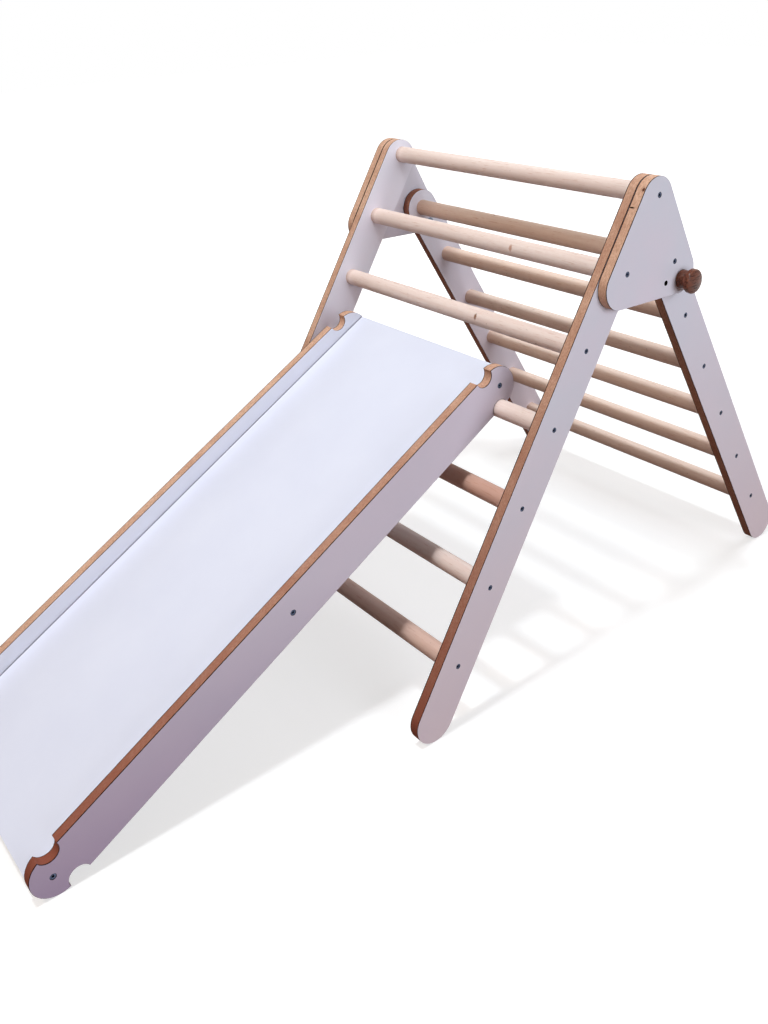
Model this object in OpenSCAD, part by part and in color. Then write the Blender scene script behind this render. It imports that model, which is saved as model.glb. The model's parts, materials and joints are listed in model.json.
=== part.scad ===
// Folding climbing triangle with a hook-on slide.
// X runs from the slide's foot (-X) to the rear ladder's foot (+X), Y across
// the width and Z up. The origin is on the floor, under the middle of the whole.
// "Near" pieces are on the -Y side, "far" pieces on the +Y side.

/* [Boards] */
// Thickness of every side board and gusset
board_t = 18; // [16:1:24]
// Width of the ladder rails
rail_w = 75; // [66:1:90]
// Clear width between the front rails
clear_w = 609; // [500:1:800]

/* [Rungs] */
// Diameter of the round rungs
rung_d = 32; // [28:1:33]
// Depth that each rung is let into its rail
pocket_depth = 8; // [5:1:12]

/* [Front ladder] */
// Distance between neighbouring rungs
front_pitch = 136; // [120:1:150]
// Drop from the first rung to the centre of the rail's round top
front_top = 8; // [0:1:16]
// Distance from the last rung to the centre of the rail's round foot
front_foot = 96; // [80:1:120]

/* [Rear ladder] */
// Distance between neighbouring rungs
rear_pitch = 132.6; // [116:0.1:140]
// Distance from the last rung to the centre of the rail's round foot
rear_foot = 92; // [80:1:120]

/* [Gusset and fold] */
// Side of the triangle between the gusset's three corner centres
gusset_side = 150.5; // [140:0.5:160]
// Distance of the pivot behind the front rail's centre line
pivot_back = 105.4; // [100:0.1:112]
// Distance of the pivot below the first rung, along the front rail
pivot_drop = 74; // [68:1:80]
// Angle between the ladders when they stand open
open_angle = 62.4; // [56:0.1:66]
// Distance from the pivot to the lock knob
lock_reach = 39.2; // [34:0.1:44]

/* [Lock knobs] */
// Largest diameter of the wooden knob
knob_d = 42; // [34:1:46]
// Diameter of the knob where it meets the gusset
knob_base_d = 32; // [28:1:34]
// Diameter of the knob's waist, under its cap
knob_waist_d = 29; // [22:1:30]
// Height of the knob over the gusset
knob_h = 30.5; // [28:0.5:38]
// Diameter of the knob's steel stud
stud_d = 6; // [5:1:6]
// Diameter of the two lock holes in each gusset
lock_hole_d = 7; // [7:0.5:9]

/* [Slide] */
// Overall width of the slide
slide_w = 428; // [340:2:480]
// Distance between the round ends' centres
slide_l = 960; // [860:1:1100]
// Height of the slide's side boards
slide_h = 76; // [70:1:90]
// Thickness of the sliding panel
panel_t = 16; // [12:1:18]
// Distance that the panel reaches past the round ends' centres
panel_past = 36; // [10:1:36]
// Radius of the hook notches
notch_r = 17; // [17:0.5:20]
// Distance from a round end's centre to its notches
notch_inset = 13.5; // [12:0.5:30]
// Rung that the slide hangs on, counted from the top
slide_rung = 4; // [3:1:6]
// Distance from the foot's round centre to the middle screw
slide_mid_screw = 466; // [400:1:560]
// Distance of the end screws past the round ends' centres
end_screw_past = 6; // [0:0.5:12]
// How far the slide is pushed along its rung, towards +Y
slide_shift = 13; // [-60:1:60]

/* [Screws] */
// Diameter of the screw heads
head_d = 9; // [8.5:0.5:12]
// Depth of the screw heads under the boards' faces
head_sunk = 0.6; // [0:0.1:1]
// Diameter of the plain shank under the head
shank_d = 7; // [6:0.5:7.5]
// Diameter of the threaded part
thread_d = 6; // [5:0.5:6]
// Width of the hexagon socket, across its flats
socket_af = 4; // [3:0.5:5]

/* [Hidden] */
NEAR = -1;
FAR = 1;
front_rungs = 7;
rear_rungs = 6;
gusset_rungs = 2; // front rungs that the gusset's screws reach
$fn = 96;

// Gaps between pieces
glue_gap = 0.05; // round a glued rung or a driven screw
pivot_gap = 0.06; // round the pivot screw's shank, where the gusset turns on it
loose_gap = 0.3; // between the frame, the slide and the knobs
washer_t = 1; // holds the rear rail off the gusset

// Y of the faces on the far side; the near side mirrors them
front_in = clear_w / 2;
front_out = front_in + board_t;
gusset_out = front_out + board_t;
rear_out = front_out - washer_t;
rear_in = rear_out - board_t;
front_pocket = front_in + pocket_depth;
rear_pocket = rear_in + pocket_depth;

// Screw lengths under the face of the head: short ones through one board,
// long ones through the gusset and the rail behind it
short_screw = 50;
long_screw = 70;

rail_r = rail_w / 2;
rung_r = rung_d / 2;
slide_r = slide_h / 2;

// The front ladder's own axes: "back" is square to its rails, "up" runs along
// them, and [0, 0] is the first rung.
front_foot_at = [0, -(front_rungs - 1) * front_pitch - front_foot];
pivot_at = [pivot_back, -pivot_drop];
rear_len = (rear_rungs - 1) * rear_pitch + rear_foot;
rear_foot_at = pivot_at + rear_len * [sin(open_angle), -cos(open_angle)];

// Both feet stand on the floor, which gives the front ladder's lean.
feet = rear_foot_at - front_foot_at;
lean = atan2(feet.y, feet.x);
back = [cos(lean), -sin(lean)];
up = [sin(lean), cos(lean)];
top_z = rail_r - front_foot_at.y * up.y;
function from_top(p) = p.x * back + p.y * up;

// The slide hangs by a lower notch on its rung, and its foot rests on the floor.
notch_along = slide_l - notch_inset;
seat_drop = notch_r - rung_r - loose_gap;
seat_from_top = from_top([0, -(slide_rung - 1) * front_pitch]) - [0, seat_drop];
notch_reach = norm([notch_along, slide_r]);
slide_angle = atan2(slide_r, notch_along) + asin((top_z + seat_from_top.y - slide_r) / notch_reach);
along = [cos(slide_angle), sin(slide_angle)];
above = [-sin(slide_angle), cos(slide_angle)];
slide_foot_from_top = seat_from_top - notch_along * along + slide_r * above;

// The first rung's place puts the whole thing's middle at X = 0.
left_reach = slide_foot_from_top.x - slide_r;
right_reach = from_top(rear_foot_at).x + rail_r;
top = [-(left_reach + right_reach) / 2, top_z];
function front_at(p) = top + from_top(p);

pivot = front_at(pivot_at);
rear_down = sin(open_angle) * back - cos(open_angle) * up;
function front_rung_at(i) = front_at([0, -(i - 1) * front_pitch]);
function rear_rung_at(i) = pivot + (i - 1) * rear_pitch * rear_down;
lock_at = pivot + lock_reach * rear_down;
fold_lock_at = pivot - lock_reach * up;
slide_foot = top + slide_foot_from_top;
slide_head = slide_foot + slide_l * along;
slide_screw_at = [
    for (d = [-end_screw_past, slide_mid_screw, slide_l + end_screw_past]) slide_foot + d * along
];

// Shared shapes ------------------------------------------------------------

// Points joined by straight edges, with every corner rounded to radius r.
// The points run anticlockwise.
module rounded_outline(points, r) {
    count = len(points);
    polygon([
        for (i = [0 : count - 1])
            let (a = points[i], b = points[(i + 1) % count], edge = (b - a) / norm(b - a))
            each [a + r * [edge.y, -edge.x], b + r * [edge.y, -edge.x]]
    ]);
    for (p = points) translate(p) circle(r);
}

// Stands a flat outline up, between the planes Y = y0 and Y = y1.
module upright(y0, y1) {
    translate([0, y1, 0]) rotate([90, 0, 0]) linear_extrude(y1 - y0) children();
}

// A round bar or hole along Y, at p = [X, Z].
module bar(p, y0, y1, d) {
    translate([p.x, y1, p.y]) rotate([90, 0, 0]) cylinder(d = d, h = y1 - y0);
}

// Places a turned piece with its own Z axis pointing to +Y.
module turned(p, y) {
    translate([p.x, y, p.y]) rotate([-90, 0, 0]) children();
}

// Draws the far side's piece, or mirrors it to the near side.
module on_side(side) {
    if (side == FAR) children();
    else mirror([0, 1, 0]) children();
}

// Turned outline of a countersunk screw, grown by g. Height 0 is the board's
// face, and the screw's own face is at height "face".
head_rim = 0.8;
function screw_outline(neck, length, g = 0, face = -head_sunk) =
    let (
        head = head_d / 2 + g, shank = shank_d / 2 + g, thread = thread_d / 2 + g,
        rim_z = -head_sunk - head_rim
    )
    [
        [0, face], [head, face], [head, rim_z],
        [shank, rim_z - head + shank], [shank, -neck],
        [thread, -neck], [thread, -length], [0, -length - thread]
    ];

module screw(neck, length) {
    difference() {
        rotate_extrude() polygon(screw_outline(neck, length));
        socket_depth = 2.8;
        translate([0, 0, -head_sunk - socket_depth])
            cylinder(d = socket_af / cos(30), h = 2 * socket_depth, $fn = 6);
    }
}

module screw_hole(neck, length, g = glue_gap) {
    rotate_extrude() polygon(screw_outline(neck, length, g, face = 1));
}

// A rung between the two pocket floors, with a pilot hole in each end.
module rung(p, pocket, pilot_depth) {
    color("burlywood") difference() {
        bar(p, -pocket, pocket, rung_d);
        for (side = [NEAR, FAR]) on_side(side)
            bar(p, pocket - pilot_depth, pocket + 1, thread_d + 2 * glue_gap);
    }
}

// Front ladder ---------------------------------------------------------------

module front_rail(side) {
    ends = [front_at([0, -front_top]), front_at(front_foot_at)];
    color("gainsboro") on_side(side) difference() {
        upright(front_in, front_out) rounded_outline(ends, rail_r);
        for (i = [1 : front_rungs])
            bar(front_rung_at(i), front_in - 1, front_pocket, rung_d + 2 * glue_gap);
        for (i = [1 : gusset_rungs])
            bar(front_rung_at(i), front_in - 1, front_out + 1, shank_d + 2 * glue_gap);
        for (i = [gusset_rungs + 1 : front_rungs])
            turned(front_rung_at(i), front_out) screw_hole(board_t, short_screw);
    }
}

module front_rung(i) {
    reach = i <= gusset_rungs ? long_screw - gusset_out : short_screw - front_out;
    rung(front_rung_at(i), front_pocket, reach + front_pocket + thread_d);
}

// The gusset's long screws hold the rungs above these.
module front_screws(side) {
    color("silver") on_side(side)
        for (i = [gusset_rungs + 1 : front_rungs])
            turned(front_rung_at(i), front_out) screw(front_out - front_pocket, short_screw);
}

module gusset(side) {
    high = [0, -front_top];
    low = [0, -front_top - gusset_side];
    rear = [gusset_side * cos(30), -front_top - gusset_side / 2];
    color("gainsboro") on_side(side) difference() {
        upright(front_out, gusset_out)
            rounded_outline([front_at(high), front_at(low), front_at(rear)], rail_r);
        for (i = [1 : gusset_rungs])
            turned(front_rung_at(i), gusset_out) screw_hole(2 * board_t, long_screw);
        turned(pivot, gusset_out - loose_gap) screw_hole(2 * board_t, long_screw, pivot_gap);
        for (p = [lock_at, fold_lock_at])
            bar(p, front_out - 1, gusset_out + 1, lock_hole_d);
    }
}

module gusset_screws(side) {
    color("silver") on_side(side)
        for (i = [1 : gusset_rungs])
            turned(front_rung_at(i), gusset_out) screw(gusset_out - front_pocket, long_screw);
}

// Rear ladder ----------------------------------------------------------------

module rear_rail(side) {
    color("gainsboro") on_side(side) difference() {
        upright(rear_in, rear_out)
            rounded_outline([pivot, pivot + rear_len * rear_down], rail_r);
        for (i = [1 : rear_rungs])
            bar(rear_rung_at(i), rear_in - 1, rear_pocket, rung_d + 2 * glue_gap);
        for (i = [2 : rear_rungs])
            turned(rear_rung_at(i), rear_out) screw_hole(board_t, short_screw);
        bar(pivot, rear_in - 1, rear_out + 1, shank_d + 2 * glue_gap);
        bar(lock_at, rear_in - 1, rear_out + 1, nut_barrel_d + 2 * glue_gap);
    }
}

module rear_rung(i) {
    reach = i == 1 ? long_screw - gusset_out : short_screw - rear_out;
    rung(rear_rung_at(i), rear_pocket, reach + rear_pocket + thread_d);
}

// The first rear rung is held by the pivot screws instead.
module rear_screws(side) {
    color("silver") on_side(side)
        for (i = [2 : rear_rungs])
            turned(rear_rung_at(i), rear_out) screw(rear_out - rear_pocket, short_screw);
}

// The pivot screw turns in the gusset and is driven into the first rear rung.
module pivot_screw(side) {
    color("silver") on_side(side)
        turned(pivot, gusset_out) screw(gusset_out - rear_pocket, long_screw);
}

module pivot_washer(side) {
    washer_d = 22;
    color("silver") on_side(side) difference() {
        bar(pivot, rear_out, front_out - loose_gap, washer_d);
        bar(pivot, rear_out - 1, front_out + 1, shank_d + 2 * glue_gap);
    }
}

// Driven into the rear rail from inside; the knob's stud screws into it.
nut_barrel_d = 8;
nut_flange_d = 16;
nut_flange_t = 1.5;
module lock_nut(side) {
    nut_end = rear_out - 3;
    color("lightsteelblue") on_side(side) difference() {
        union() {
            bar(lock_at, rear_in - nut_flange_t, rear_in, nut_flange_d);
            bar(lock_at, rear_in - nut_flange_t, nut_end, nut_barrel_d);
        }
        bar(lock_at, rear_in - nut_flange_t - 1, nut_end + 1, stud_d);
    }
}

// Lock knobs -----------------------------------------------------------------

// Turned outline: a barrel that narrows to a waist, a cove up to the cap's
// underside, the cap's straight side between two round edges, and a low crown.
rim_r = 3.5;
rim_turn = 60; // angle at which the upper round edge runs into the crown
rim_side = 4;
crown_h = 3;
cove_h = 4;
function knob_outline() =
    let (
        base_r = knob_base_d / 2, waist_r = knob_waist_d / 2,
        rim_x = knob_d / 2 - rim_r, rim_z = knob_h - crown_h - rim_r * sin(rim_turn),
        cap_z = rim_z - rim_side, waist_z = cap_z - rim_r - cove_h,
        crown_r = rim_x + rim_r * cos(rim_turn)
    )
    [
        [0, 0], [base_r - 1, 0],
        for (t = [0.1 : 0.15 : 1]) [base_r - (base_r - waist_r) * t ^ 2, waist_z * t],
        for (a = [15 : 15 : 75]) [rim_x - (rim_x - waist_r) * cos(a), waist_z + cove_h * sin(a)],
        for (a = [-90 : 15 : 0]) [rim_x + rim_r * cos(a), cap_z + rim_r * sin(a)],
        for (a = [0 : 15 : rim_turn]) [rim_x + rim_r * cos(a), rim_z + rim_r * sin(a)],
        for (t = [0.85 : -0.17 : 0]) [crown_r * t, knob_h - crown_h * t ^ 2]
    ];

stud_socket = 16;
module lock_knob(side) {
    color("saddlebrown") on_side(side) turned(lock_at, gusset_out + loose_gap) difference() {
        rotate_extrude() polygon(knob_outline());
        translate([0, 0, -1]) cylinder(d = stud_d + 2 * glue_gap, h = stud_socket + 1);
    }
}

// Shown drawn back just clear of the rear rail, which it locks when screwed in.
module knob_stud(side) {
    color("silver") on_side(side)
        bar(lock_at, front_out + loose_gap, gusset_out + loose_gap + stud_socket, stud_d);
}

// Slide ----------------------------------------------------------------------

// The notches are on both edges at both ends, so that the slide turns over.
module slide_board(side) {
    y0 = slide_w / 2 - board_t;
    color("gainsboro") translate([0, slide_shift, 0]) on_side(side) difference() {
        upright(y0, y0 + board_t) rounded_outline([slide_head, slide_foot], slide_r);
        for (d = [notch_inset, notch_along], edge = [-slide_r, slide_r])
            bar(slide_foot + d * along + edge * above, y0 - 1, y0 + board_t + 1, 2 * notch_r);
        for (p = slide_screw_at)
            turned(p, y0 + board_t) screw_hole(2 * board_t, short_screw);
    }
}

module slide_panel() {
    half = slide_w / 2 - board_t;
    length = slide_l + 2 * panel_past;
    color("ghostwhite") translate([0, slide_shift, 0]) difference() {
        translate([slide_foot.x, 0, slide_foot.y]) rotate([0, -slide_angle, 0])
            translate([-panel_past, -half, -panel_t / 2]) cube([length, 2 * half, panel_t]);
        for (p = slide_screw_at, side = [NEAR, FAR]) on_side(side)
            bar(p, half + board_t - short_screw - thread_d, half + 1, thread_d + 2 * glue_gap);
    }
}

module slide_screws(side) {
    color("silver") translate([0, slide_shift, 0]) on_side(side)
        for (p = slide_screw_at) turned(p, slide_w / 2) screw(board_t, short_screw);
}

// The pieces -----------------------------------------------------------------

front_rail(NEAR);  // front_rail_near
front_rail(FAR);  // front_rail_far
gusset(NEAR);  // gusset_near
gusset(FAR);  // gusset_far
for (i = [1 : front_rungs])
    front_rung(i);
front_screws(NEAR);  // front_screws_near
front_screws(FAR);  // front_screws_far
gusset_screws(NEAR);  // gusset_screws_near
gusset_screws(FAR);  // gusset_screws_far
rear_rail(NEAR);  // rear_rail_near
rear_rail(FAR);  // rear_rail_far
for (i = [1 : rear_rungs])
    rear_rung(i);
rear_screws(NEAR);  // rear_screws_near
rear_screws(FAR);  // rear_screws_far
pivot_screw(NEAR);  // pivot_screw_near
pivot_screw(FAR);  // pivot_screw_far
pivot_washer(NEAR);  // pivot_washer_near
pivot_washer(FAR);  // pivot_washer_far
lock_nut(NEAR);  // lock_nut_near
lock_nut(FAR);  // lock_nut_far
lock_knob(NEAR);  // lock_knob_near
lock_knob(FAR);  // lock_knob_far
knob_stud(NEAR);  // knob_stud_near
knob_stud(FAR);  // knob_stud_far
slide_board(NEAR);  // slide_board_near
slide_board(FAR);  // slide_board_far
slide_panel();
slide_screws(NEAR);  // slide_screws_near
slide_screws(FAR);  // slide_screws_far
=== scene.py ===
"""Folding climbing triangle with a hook-on slide: finishes, light and camera.

Metres, +Z up. The solids come in as a fixed frame: X runs from the slide's foot
to the rear ladder's foot, "near" boards are on the -Y side and "far" ones on +Y.
"""

import json
import math

import bpy
from mathutils import Matrix, Vector


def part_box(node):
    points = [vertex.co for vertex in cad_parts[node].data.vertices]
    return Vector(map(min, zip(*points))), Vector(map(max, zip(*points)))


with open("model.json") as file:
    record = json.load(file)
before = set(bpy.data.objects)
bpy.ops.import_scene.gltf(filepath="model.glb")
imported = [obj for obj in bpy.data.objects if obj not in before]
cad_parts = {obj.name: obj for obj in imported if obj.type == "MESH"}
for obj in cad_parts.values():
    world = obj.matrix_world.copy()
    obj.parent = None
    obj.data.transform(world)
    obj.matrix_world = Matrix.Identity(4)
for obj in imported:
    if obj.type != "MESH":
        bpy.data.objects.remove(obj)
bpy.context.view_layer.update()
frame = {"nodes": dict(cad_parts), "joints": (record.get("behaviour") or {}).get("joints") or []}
NODES = frame["nodes"]
JOINTS = {joint["name"]: joint for joint in frame["joints"]}
MM = 0.001
WHITE = (1, 1, 1, 1)


def srgb(red, green, blue):
    """A colour written as 0 to 255 screen values, in the linear values that shaders take."""

    def linear(value):
        value /= 255
        return value / 12.92 if value <= 0.04045 else ((value + 0.055) / 1.055) ** 2.4

    return (linear(red), linear(green), linear(blue), 1.0)


def middle_and_half(low, high):
    """The middle between two numbers or corners, and half the distance between them."""
    return (low + high) / 2, (high - low) / 2


# Shader graphs ---------------------------------------------------------------


class Graph:
    """Adds shader nodes to a material or world, and links them."""

    def __init__(self, tree):
        self.tree = tree

    def node(self, kind, **settings):
        """Adds one node with these settings."""
        made = self.tree.nodes.new(kind)
        for key, value in settings.items():
            setattr(made, key, value)
        return made

    def feed(self, socket, value):
        """Links a socket to another, or sets it to a plain value."""
        if isinstance(value, bpy.types.NodeSocket):
            self.tree.links.new(value, socket)
        else:
            socket.default_value = value

    def math(self, operation, first, second=0.0):
        made = self.node("ShaderNodeMath", operation=operation)
        self.feed(made.inputs[0], first)
        self.feed(made.inputs[1], second)
        return made.outputs[0]

    def vector_math(self, operation, first, second=(0, 0, 0)):
        """Gives a number for a dot product or a length, and otherwise a vector."""
        made = self.node("ShaderNodeVectorMath", operation=operation)
        self.feed(made.inputs[0], first)
        self.feed(made.inputs[1], second)
        return made.outputs["Value" if operation in ("DOT_PRODUCT", "LENGTH") else "Vector"]

    def part(self, vector, letter):
        """The X, Y or Z of a vector."""
        made = self.node("ShaderNodeSeparateXYZ")
        self.feed(made.inputs[0], vector)
        return made.outputs[letter]

    def spread(self, value, low, high, to_low=0.0, to_high=1.0):
        """Maps low..high to to_low..to_high, held at both ends."""
        made = self.node("ShaderNodeMapRange", clamp=True)
        self.feed(made.inputs["Value"], value)
        self.feed(made.inputs["From Min"], low)
        self.feed(made.inputs["From Max"], high)
        self.feed(made.inputs["To Min"], to_low)
        self.feed(made.inputs["To Max"], to_high)
        return made.outputs[0]

    def mix(self, factor, first, second, blend="MIX"):
        """Blends the second colour over the first, by a factor from 0 to 1."""
        made = self.node("ShaderNodeMix", data_type="RGBA", blend_type=blend)
        self.feed(made.inputs[0], factor)
        self.feed(made.inputs[6], first)
        self.feed(made.inputs[7], second)
        return made.outputs[2]

    def stain(self, colour, mask, strength, over):
        """Lays "over" on a colour where the mask is 1, this strongly."""
        return self.mix(self.math("MULTIPLY", mask, strength), colour, over)

    def seen_share(self):
        """1 for rays from the camera, from gloss and through glass, which see the white set."""
        path = self.node("ShaderNodeLightPath")
        seen = path.outputs["Is Camera Ray"]
        for ray in ("Is Glossy Ray", "Is Transmission Ray"):
            seen = self.math("MAXIMUM", seen, path.outputs[ray])
        return seen


class Surface(Graph):
    """One procedural material, worked out from the place on the object at rest."""

    def __init__(self, name):
        self.material = bpy.data.materials.new(name)
        self.material.use_nodes = True
        super().__init__(self.material.node_tree)
        self.shader = self.tree.nodes["Principled BSDF"]
        self.place = self.node("ShaderNodeTexCoord").outputs["Object"]

    def axis(self, letter):
        """The place's X, Y or Z."""
        return self.part(self.place, letter)

    def along(self, direction):
        """How far the place lies along a direction from the origin."""
        return self.vector_math("DOT_PRODUCT", self.place, direction)

    def distance(self, centre, radii):
        """0 at the centre and 1 on the ellipsoid with these radii."""
        offset = self.vector_math("SUBTRACT", self.place, centre)
        return self.vector_math("LENGTH", self.vector_math("DIVIDE", offset, radii))

    def noise(self, scale, detail, stretch=(1, 1, 1), offset=(0, 0, 0), roughness=0.55):
        """Noise from 0 to 1 with "scale" cells in a metre, times "stretch" along each axis."""
        mapping = self.node("ShaderNodeMapping")
        self.feed(mapping.inputs["Vector"], self.place)
        self.feed(mapping.inputs["Scale"], stretch)
        self.feed(mapping.inputs["Location"], offset)
        made = self.node("ShaderNodeTexNoise")
        self.feed(made.inputs["Vector"], mapping.outputs[0])
        self.feed(made.inputs["Scale"], scale)
        self.feed(made.inputs["Detail"], detail)
        self.feed(made.inputs["Roughness"], roughness)
        return made.outputs["Fac"]

    def fleck(self, centre, radii):
        """Mask of one small ragged mark."""
        ragged = self.math("ADD", self.distance(centre, radii), self.noise(900, 2))
        return self.spread(ragged, 1.8, 1.1)

    def bump(self, height, depth):
        """Raises the surface by height times depth, in metres."""
        made = self.node("ShaderNodeBump")
        self.feed(made.inputs["Height"], height)
        self.feed(made.inputs["Distance"], depth)
        self.feed(self.shader.inputs["Normal"], made.outputs[0])

    def finish(self, colour, roughness, specular=0.5, metallic=0.0):
        """Gives the surface its colour and gloss, and returns the material."""
        self.feed(self.shader.inputs["Base Color"], colour)
        self.feed(self.shader.inputs["Roughness"], roughness)
        self.shader.inputs["Specular IOR Level"].default_value = specular
        self.shader.inputs["Metallic"].default_value = metallic
        return self.material


# Boards ----------------------------------------------------------------------

SKIN = 0.02 * MM  # the white skin lies on the flat face; what is lower than this is bare
SKIN_FADE = 0.03 * MM
SCORCH = 1.5 * MM  # width of the dark line that the cut left beside the skin
SCORCH_FADE = 0.2 * MM

# How much the bare edges are painted darker and browner, at the floor and from the height below
# upwards.
# On the rear rails, whose edges face down and away from the light, this is painted shade, all
# along the far one;
# on the near front rail and slide board the edges are only made darker towards the floor.
DARKENING_HEIGHT = 0.6
SLIGHT_EDGE_DARKENING = (0.1, 0.0)
EDGE_DARKENING = {
    "front_rail_near": (0.95, 0.2),
    "rear_rail_near": (0.65, 0.38),
    "rear_rail_far": (0.7, 0.7),
    "slide_board_near": (1.0, 0.1),
}

# The knob stands in the open lock bore; the fold carries that place to the other one.
PIVOT = Vector(JOINTS["rear_fold"]["pos_m"])
FOLD = math.radians(JOINTS["rear_fold"]["range_deg"][1])
OPEN_BORE, _ = middle_and_half(*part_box("lock_knob_near"))
FOLDED_BORE = PIVOT + Matrix.Rotation(FOLD, 3, "Y") @ (OPEN_BORE - PIVOT)
BORE_RADIUS = 4.6 * MM  # with its rounded rim
BORE_REACH = 100  # radius along Y, so long that a bore runs through every board

SLIDE_UP = Vector(JOINTS["slide_lift"]["axis"])  # square to the sliding panel
PANEL_MIDDLE, PANEL_HALF = middle_and_half(*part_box("slide_panel"))
SEAM = 2.5 * MM  # width of the grey line painted along the panel's sides, where they meet the side boards
SEAM_FADE = 0.3 * MM

# Small blemishes of each node, in millimetres: place from the middle of the node's box,
# radii along X, Y and Z, and colour.
MARKS = {
    "gusset_near": (
        # a near-black nick across the front edge: painted shade of a groove that the solid does
        # not have
        ((-43.3, 3.5, 60.3), (20, 5, 1.2), srgb(20, 10, 8)),
        ((-25.8, -4.5, 86.3), (3, 3, 4), srgb(96, 56, 40)),
    ),
    "front_rung_2": (((-15.6, -96, 4), (6, 3.5, 6), srgb(200, 160, 142)),),
    "front_rung_3": (((-15, -80, 6.1), (5, 3, 6), srgb(142, 104, 80)),),
}


def add_marks(g, node, colour):
    """Lays a node's blemishes over its colour."""
    middle, _ = middle_and_half(*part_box(node))
    for offset, radii, mark in MARKS.get(node, ()):
        centre = middle + Vector(offset) * MM
        colour = g.mix(g.fleck(centre, Vector(radii) * MM), colour, mark)
    return colour


def clouded(g, whites):
    """Two whites that cloud into each other."""
    return g.mix(g.spread(g.noise(7, 4), 0.3, 0.7), *whites)


def shaded_towards_floor(g, lit_whites, shaded_whites, reach):
    """Clouded white, painted darker and duller from the height "reach" down to the floor:
    painted shade.
    """
    return g.mix(g.spread(g.axis("Z"), 0.0, reach), clouded(g, shaded_whites), clouded(g, lit_whites))


def laminated(g, from_middle, half, skin, darkening):
    """White-skinned board, bare brown round its edges.

    "from_middle" runs through its thickness, whose half is "half"; the last argument, as in the
    edge table, says how much the bare edges are painted darker. Gives the colour, the mask of
    the bare edges and the height of their fibres.
    """
    outwards = g.math("ABSOLUTE", from_middle)
    bare = g.spread(outwards, half - SKIN, half - SKIN - SKIN_FADE)
    past_scorch = g.spread(outwards, half - SCORCH + SCORCH_FADE, half - SCORCH - SCORCH_FADE)

    fibre = g.noise(210, 6, stretch=(1, 2.2, 1), roughness=0.7)
    blotch = g.spread(g.noise(24, 4), 0.4, 0.7)
    chips = g.spread(g.noise(700, 2), 0.62, 0.7)
    wood = g.mix(g.spread(fibre, 0.32, 0.68), srgb(189, 148, 124), srgb(238, 200, 174))
    wood = g.stain(wood, blotch, 0.4, srgb(166, 112, 86))
    wood = g.stain(wood, chips, 0.5, srgb(122, 74, 54))
    # darker red-brown edges by the edge table: painted shade on the rear rails' edges
    wood = g.mix(g.spread(g.axis("Z"), 0.0, DARKENING_HEIGHT, *darkening), wood, srgb(126, 56, 38))
    edge = g.mix(past_scorch, srgb(34, 16, 12), wood)
    return g.mix(bare, skin, edge), bare, fibre


def laminate_finish(g, colour, bare, fibre):
    """Satin skin and rough fibrous edges."""
    pearl = g.noise(1400, 2)
    edge_height = g.math("MULTIPLY", bare, g.math("MULTIPLY", fibre, 10.0))
    g.bump(g.math("ADD", pearl, edge_height), 0.012 * MM)
    skin_roughness = g.spread(g.noise(30, 3), 0.3, 0.7, 0.4, 0.46)
    roughness = g.math("ADD", skin_roughness, g.math("MULTIPLY", bare, 0.45))
    return g.finish(colour, roughness, specular=0.15)


def rail_material(node):
    """Board of the ladders and gussets; its lock bores are painted near-black inside, as painted
    shade.
    """
    low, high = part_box(node)
    middle, half = middle_and_half(low.y, high.y)
    g = Surface("white_board_" + node)
    lit_whites = (srgb(224, 227, 238), srgb(231, 225, 237))
    if node == "front_rail_far":  # painted whiter than the rest: painted light on its inner face
        lit_whites = (srgb(239, 240, 251), srgb(243, 238, 250))
    # darker, duller whites towards the floor: painted shade
    shaded_whites = (srgb(220, 203, 211), srgb(225, 209, 213))
    skin = shaded_towards_floor(g, lit_whites, shaded_whites, reach=0.6)
    from_middle = g.math("SUBTRACT", g.axis("Y"), middle)
    colour, bare, fibre = laminated(g, from_middle, half, skin, EDGE_DARKENING.get(node, SLIGHT_EDGE_DARKENING))
    # the lock bores' walls are painted near-black: painted shade inside the bores
    for bore in (OPEN_BORE, FOLDED_BORE):
        from_bore = g.distance(bore, (BORE_RADIUS, BORE_REACH, BORE_RADIUS))
        colour = g.mix(g.spread(from_bore, 1.02, 0.98), colour, srgb(14, 8, 8))
    return laminate_finish(g, add_marks(g, node, colour), bare, fibre)


def slide_board_material(node):
    """Side board of the slide: its outer face is painted darker than the inner one, as painted
    shade.
    """
    low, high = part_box(node)
    middle, half = middle_and_half(low.y, high.y)
    g = Surface("white_board_" + node)
    # outer whites painted darker than the inner ones, and darker still towards the floor:
    # painted shade
    lit_whites = (srgb(218, 211, 224), srgb(222, 213, 226))
    shaded_whites = (srgb(176, 159, 185), srgb(183, 164, 189))
    outer = shaded_towards_floor(g, lit_whites, shaded_whites, reach=0.3)
    inner = clouded(g, (srgb(218, 220, 230), srgb(223, 224, 234)))
    inwards = 1 if PANEL_MIDDLE.y > middle else -1
    from_middle = g.math("MULTIPLY", g.math("SUBTRACT", g.axis("Y"), middle), inwards)
    skin = g.mix(g.spread(from_middle, -MM, MM), outer, inner)
    darkening = EDGE_DARKENING.get(node, SLIGHT_EDGE_DARKENING)
    return laminate_finish(g, *laminated(g, from_middle, half, skin, darkening))


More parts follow.
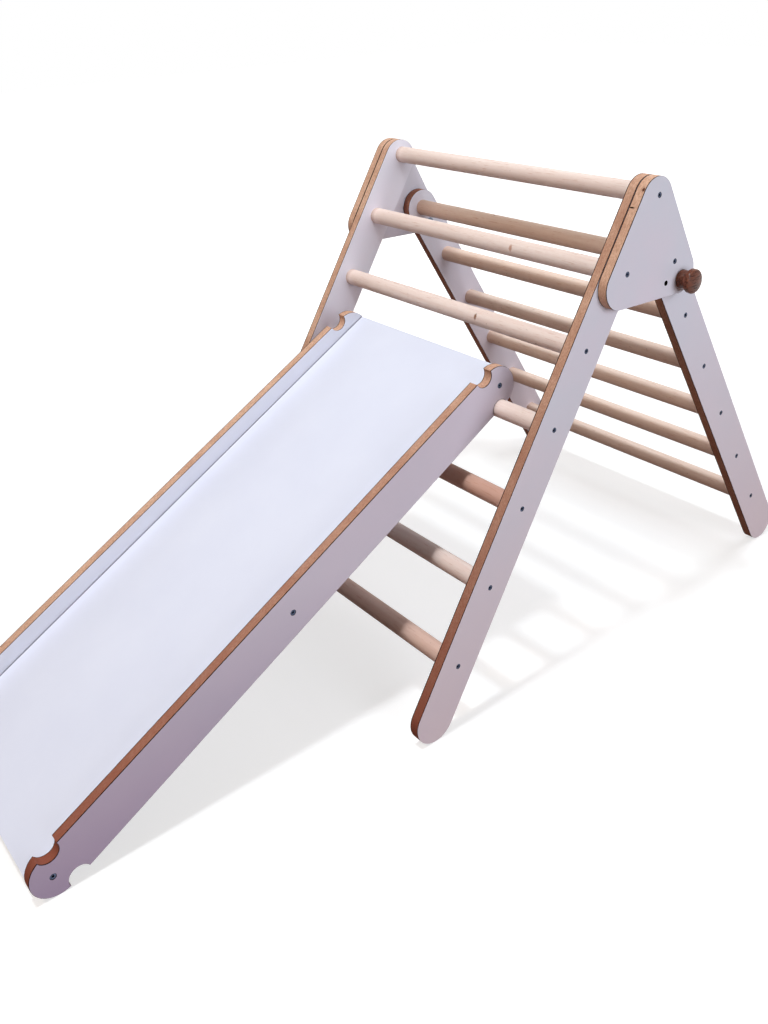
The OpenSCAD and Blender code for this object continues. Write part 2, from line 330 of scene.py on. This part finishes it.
def panel_material():
    """The slide's smooth white sliding panel, with the same bare edges as the boards."""
    g = Surface("slide_surface")
    heights = [corner.co.dot(SLIDE_UP) for corner in NODES["slide_panel"].data.vertices]
    middle, half = middle_and_half(min(heights), max(heights))
    skin = clouded(g, (srgb(222, 228, 246), srgb(226, 232, 249)))
    from_middle = g.math("SUBTRACT", g.along(SLIDE_UP), middle)
    colour, bare, fibre = laminated(g, from_middle, half, skin, SLIGHT_EDGE_DARKENING)
    aside = g.math("ABSOLUTE", g.math("SUBTRACT", g.axis("Y"), PANEL_MIDDLE.y))
    seam_start = PANEL_HALF.y - SEAM
    seam = g.spread(aside, seam_start, seam_start + SEAM_FADE)
    return laminate_finish(g, g.mix(seam, colour, srgb(92, 92, 110)), bare, fibre)


# Rungs, knobs and fittings ---------------------------------------------------

POCKET_DEPTH = 8 * MM  # the rungs' ends stand this deep in the rails
# Lengths over which the rungs are painted darker next to the rails: painted shade at their ends
END_SHADE_REACH = {"front": 12 * MM, "rear": 60 * MM}  # along the rungs, from the rails' faces

# Rungs painted darker and warmer, by the start of their names: partly their own wood, partly
# painted shade, that of the slide over front rungs 5 and 7 and of the front ladder over the rear
# rungs
RUNG_TONE_AND_SHADE = {
    "rear_rung": srgb(255, 251, 244),
    "front_rung_5": srgb(222, 194, 182),
    "front_rung_7": srgb(240, 224, 216),
}


def beech(g, cut):
    """Beech along Y: long soft grain, ray flecks and scuffs, moved by "cut".

    Gives the colour, and the streaks and flecks that stand a little proud.
    """
    dark, light = srgb(232, 211, 202), srgb(246, 233, 227)
    tone = g.spread(g.noise(9, 1, stretch=(1, 0.15, 1), offset=cut), 0.3, 0.7)
    streak = g.spread(g.noise(110, 5, stretch=(1, 0.03, 1), offset=cut), 0.3, 0.7)
    mottle = g.spread(g.noise(260, 3, stretch=(1, 0.4, 1), offset=cut), 0.4, 0.65)
    flecks = g.spread(g.noise(620, 2, stretch=(1, 0.06, 1), offset=cut), 0.6, 0.72)
    scuff = g.spread(g.noise(160, 5, stretch=(1, 0.6, 1), offset=cut), 0.71, 0.75)
    wood = g.mix(streak, dark, light)
    wood = g.stain(wood, tone, 0.3, dark)
    wood = g.stain(wood, mottle, 0.3, dark)
    wood = g.stain(wood, flecks, 0.6, srgb(206, 168, 150))
    wood = g.stain(wood, scuff, 0.6, srgb(122, 88, 72))
    return wood, streak, flecks


def rung_material(node):
    """Round beech bar along Y, painted darker where it meets the rails: painted shade at its
    ends.
    """
    _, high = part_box(node)
    g = Surface("beech_" + node)
    own_cut = (high.x * 37, high.z * 23, high.x * 11)  # so that no two rungs are alike
    wood, streak, flecks = beech(g, own_cut)
    rail_face = high.y - POCKET_DEPTH
    end_shade_start = rail_face - END_SHADE_REACH[node.split("_")[0]]
    end_shade = g.spread(g.math("ABSOLUTE", g.axis("Y")), end_shade_start, rail_face)
    # painted shade next to the rails
    wood = g.stain(wood, end_shade, 0.45, srgb(128, 84, 64))
    for name, tone_and_shade in RUNG_TONE_AND_SHADE.items():
        if node.startswith(name):
            wood = g.mix(1.0, wood, tone_and_shade, "MULTIPLY")
    g.bump(g.math("ADD", streak, g.math("MULTIPLY", flecks, 0.6)), 0.05 * MM)
    roughness = g.spread(streak, 0, 1, 0.5, 0.62)
    return g.finish(add_marks(g, node, wood), roughness, specular=0.12)


def walnut_material():
    """Dark turned wood of the lock knobs, its grain running across them."""
    g = Surface("walnut")
    grain = g.spread(g.noise(330, 4, stretch=(0.16, 1, 1)), 0.3, 0.7)
    pores = g.spread(g.noise(1500, 2, stretch=(0.12, 1, 1)), 0.6, 0.68)
    wood = g.mix(grain, srgb(56, 27, 19), srgb(126, 72, 51))
    wood = g.stain(wood, pores, 0.6, srgb(36, 18, 14))
    g.bump(g.math("SUBTRACT", grain, pores), 0.05 * MM)
    return g.finish(wood, g.spread(grain, 0, 1, 0.24, 0.34), specular=0.2)


def zinc(g, dark, light):
    """Slightly clouded zinc plating: gives its colour and roughness."""
    cloud = g.spread(g.noise(700, 4), 0.35, 0.65)
    g.bump(g.noise(2600, 2), 0.01 * MM)
    return g.mix(cloud, dark, light), g.spread(cloud, 0, 1, 0.3, 0.45)


def steel_material(name, dark, light):
    """Plated nuts, washers and studs."""
    g = Surface(name)
    return g.finish(*zinc(g, dark, light), metallic=1.0)


def screw_material(node):
    """Plated screws: the heads' faces shine, and their sockets are painted near-black, as
    painted shade.
    """
    low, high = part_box(node)
    face = low.y if low.y + high.y < 0 else high.y
    g = Surface("zinc_steel_" + node)
    plated, roughness = zinc(g, srgb(44, 50, 66), srgb(92, 102, 126))
    depth = g.math("ABSOLUTE", g.math("SUBTRACT", g.axis("Y"), face))
    # deeper than 0.4 mm below the head's face is painted near-black: painted shade in the socket
    socket = g.spread(depth, 0.15 * MM, 0.4 * MM)
    return g.finish(g.mix(socket, plated, srgb(16, 16, 22)), roughness, metallic=1.0)


# Dressing the solids ---------------------------------------------------------

BOARD_BEVEL = 1.5 * MM
RUNG_BEVEL = 0.5 * MM
NUT_BEVEL = 0.3 * MM
FITTING_BEVEL = 0.2 * MM


def dress(node, material, bevel=None):
    """Gives a solid its material, and rounds its sharp edges by bevel metres."""
    piece = NODES[node]
    piece.data.materials.clear()
    piece.data.materials.append(material)
    weld = piece.modifiers.new("weld", "WELD")
    weld.merge_threshold = 0.005 * MM
    flat = piece.modifiers.new("flat_faces", "DECIMATE")
    flat.decimate_type = "DISSOLVE"
    flat.angle_limit = math.radians(0.5)
    if bevel:
        rounding = piece.modifiers.new("round_edges", "BEVEL")
        rounding.width = bevel
        rounding.segments = 2
        rounding.limit_method = "ANGLE"
        rounding.angle_limit = math.radians(40)
        rounding.use_clamp_overlap = True
    shading = piece.modifiers.new("even_shading", "WEIGHTED_NORMAL")
    shading.keep_sharp = False
    shading.weight = 50


walnut = walnut_material()
blue_zinc = steel_material("nut_steel", dark=srgb(66, 74, 88), light=srgb(128, 138, 152))
plain_zinc = steel_material("zinc_steel", dark=srgb(84, 92, 114), light=srgb(136, 148, 172))

for name in NODES:
    if "screw" in name:
        dress(name, screw_material(name), FITTING_BEVEL)
    elif "slide_board" in name:
        dress(name, slide_board_material(name), BOARD_BEVEL)
    elif name == "slide_panel":
        dress(name, panel_material(), BOARD_BEVEL)
    elif "rail" in name or "gusset" in name:
        dress(name, rail_material(name), BOARD_BEVEL)
    elif "rung" in name:
        dress(name, rung_material(name), RUNG_BEVEL)
    elif "lock_knob" in name:
        dress(name, walnut)
    elif "lock_nut" in name:
        dress(name, blue_zinc, NUT_BEVEL)
    else:
        dress(name, plain_zinc, FITTING_BEVEL)


# Floor, light and camera -----------------------------------------------------

FLOOR_HALF = 12
FLOOR_SHOWN = (0.5, 0.5, 0.5, 1)
FLOOR_BOUNCE = (0.13, 0.055, 0.035, 1)  # what the object's undersides get back from it
GLOW_NEAR, GLOW_FAR = 0.6, 1.0  # the floor's own white, under the object and away from it
GLOW_START, GLOW_END = 1.0, 2.6  # distance over which one turns into the other

SKY_COLOUR = (1, 0.82, 0.7, 1)
SKY_STRENGTH = 0.27  # straight above; it falls to nothing at the horizon

COOL_LIGHT = (0.87, 0.95, 1)
PALE_LIGHT = (0.9, 0.94, 1)
WARM_LIGHT = (1, 0.8, 0.64)

# Worked out from the photograph: the boards' edges and rungs, with 18 mm boards.
CAMERA_PLACE = (-0.9824, -1.305, 1.150)
CAMERA_AZIMUTH = 37.61  # degrees, from +Y towards +X
CAMERA_TILT = -21.27
CAMERA_ROLL = -2.91
FOCAL_LENGTH = 34.98  # in millimetres, as the sensor's width is
SENSOR_WIDTH = 36
CAMERA_SHIFT = (-0.0052, -0.1435)  # in shares of the frame's longer side


def floor_material():
    """Grey that glows: plain white far off, and less near the object, so its shadow shows.

    The object is lit by FLOOR_BOUNCE alone, without the glow.
    """
    g = Surface("floor")
    seen = g.seen_share()
    from_object = g.vector_math("LENGTH", g.place)
    glow = g.spread(from_object, GLOW_START, GLOW_END, GLOW_NEAR, GLOW_FAR)
    g.shader.inputs["Emission Color"].default_value = WHITE
    g.feed(g.shader.inputs["Emission Strength"], g.math("MULTIPLY", seen, glow))
    return g.finish(g.mix(seen, FLOOR_BOUNCE, FLOOR_SHOWN), 0.9, specular=0.0)


def add_floor():
    """Pale floor that turns into plain white away from the object, and keeps its shadow."""
    mesh = bpy.data.meshes.new("floor")
    half = FLOOR_HALF
    corners = [(-half, -half, 0), (half, -half, 0), (half, half, 0), (-half, half, 0)]
    mesh.from_pydata(corners, [], [(0, 1, 2, 3)])
    mesh.materials.append(floor_material())
    floor = bpy.data.objects.new("floor", mesh)
    bpy.context.scene.collection.objects.link(floor)


def add_world():
    """Seen as plain white; as light it is warm and comes from above."""
    world = bpy.data.worlds.new("studio")
    bpy.context.scene.world = world
    world.use_nodes = True
    g = Graph(world.node_tree)
    background = g.tree.nodes["Background"]
    seen = g.seen_share()
    direction = g.node("ShaderNodeTexCoord").outputs["Generated"]
    light = g.spread(g.part(direction, "Z"), 0, 1, 0, SKY_STRENGTH)
    g.feed(background.inputs["Color"], g.mix(seen, SKY_COLOUR, WHITE))
    g.feed(background.inputs["Strength"], g.spread(seen, 0, 1, light, 1))


def add_softbox(name, place, aim, size, watts, colour):
    """Square lamp, "size" metres wide, that shines from its place towards "aim"."""
    lamp = bpy.data.lights.new(name, "AREA")
    lamp.shape = "SQUARE"
    lamp.size = size
    lamp.energy = watts
    lamp.color = colour
    box = bpy.data.objects.new(name, lamp)
    box.location = place
    box.rotation_euler = (Vector(aim) - Vector(place)).to_track_quat("-Z", "Y").to_euler()
    bpy.context.scene.collection.objects.link(box)


def add_softboxes():
    """A hard key from above and soft fills all round, with a warm one over the slide."""
    add_softbox("key", (-1.2, -0.25, 5), (0.1, -0.15, 0.4), 0.36, 118, COOL_LIGHT)
    add_softbox("top", (1.4, -0.2, 3), (0.2, 0, 0.6), 0.5, 7, COOL_LIGHT)
    add_softbox("front", (0.3, -4.8, 1.7), (0.2, 0, 0.4), 3, 150, PALE_LIGHT)
    add_softbox("left", (-2.4, -0.1, 3), (0.1, 0, 0.6), 0.7, 34, WARM_LIGHT)
    add_softbox("far", (0.3, 4.8, 1), (0.2, 0, 0.4), 3, 135, PALE_LIGHT)
    add_softbox("back", (4.6, -0.2, 3), (0.2, 0, 0.4), 2, 56, PALE_LIGHT)


def add_camera():
    """Camera at the photograph's place, turned and then rolled about its line of sight."""
    azimuth, tilt, roll = (math.radians(a) for a in (CAMERA_AZIMUTH, CAMERA_TILT, CAMERA_ROLL))
    level_forward = Vector((math.sin(azimuth), math.cos(azimuth), 0))
    forward = math.cos(tilt) * level_forward + math.sin(tilt) * Vector((0, 0, 1))
    level_right = forward.cross(Vector((0, 0, 1))).normalized()
    level_up = level_right.cross(forward)
    right = math.cos(roll) * level_right + math.sin(roll) * level_up
    up = -math.sin(roll) * level_right + math.cos(roll) * level_up
    lens = bpy.data.cameras.new("camera")
    lens.sensor_width = SENSOR_WIDTH
    lens.lens = FOCAL_LENGTH
    lens.shift_x, lens.shift_y = CAMERA_SHIFT
    lens.clip_end = 5 * FLOOR_HALF
    camera = bpy.data.objects.new("camera", lens)
    turn = Matrix((right, up, -forward)).transposed()
    camera.matrix_world = Matrix.LocRotScale(Vector(CAMERA_PLACE), turn, None)
    bpy.context.scene.collection.objects.link(camera)
    bpy.context.scene.camera = camera


add_floor()
add_world()
add_softboxes()
add_camera()
bpy.context.scene.view_settings.view_transform = "Standard"
